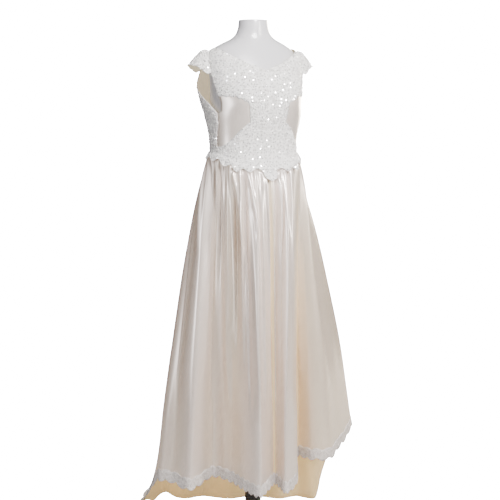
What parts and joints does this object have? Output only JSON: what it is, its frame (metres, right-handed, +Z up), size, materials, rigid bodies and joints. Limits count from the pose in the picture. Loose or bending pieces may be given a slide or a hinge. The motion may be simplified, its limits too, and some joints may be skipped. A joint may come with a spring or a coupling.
{
  "type": "wedding dress on a dress form",
  "caption": "Ivory satin wedding dress with a beaded lace bodice, pointed basque, cap sleeves, gathered skirt and swept train, on a limbless dress form and round-footed stand.",
  "frame": {"origin": "centre of the stand base's underside, on the floor", "axes": "+Z up; the form and the front of the dress face -Y; the wearer's left is +X; the train is swept back and towards +X"},
  "size_m": [0.9316, 1.2319, 1.762],
  "materials": {
    "ivory_satin": "smooth ivory satin with a soft sheen",
    "corded_lace": "matte corded lace with beads",
    "form_gloss": "glossy light grey moulded plastic",
    "stand_metal": "satin dark grey paint"
  },
  "bodies": {
    "root": {"bodice_front_centre": "ivory_satin", "bodice_side_front_left": "ivory_satin", "bodice_side_front_right": "ivory_satin", "bodice_side_back_left": "ivory_satin", "bodice_side_back_right": "ivory_satin", "bodice_back_left": "ivory_satin", "bodice_back_right": "ivory_satin", "lace_front_centre": "corded_lace", "lace_bust_left": "corded_lace", "lace_bust_right": "corded_lace", "lace_side_back_left": "corded_lace", "lace_side_back_right": "corded_lace", "lace_basque": "corded_lace", "sleeve_left": "corded_lace", "sleeve_right": "corded_lace", "skirt_front": "ivory_satin", "skirt_side_left": "ivory_satin", "skirt_side_right": "ivory_satin", "skirt_back_left": "ivory_satin", "skirt_back_right": "ivory_satin", "hem_lace_front": "corded_lace", "hem_lace_side_left": "corded_lace", "hem_lace_side_right": "corded_lace", "hem_lace_back_left": "corded_lace", "hem_lace_back_right": "corded_lace", "form_torso": "form_gloss", "stand_collar": "stand_metal", "stand_pole": "stand_metal", "stand_base": "stand_metal"}
  },
  "joints": []
}
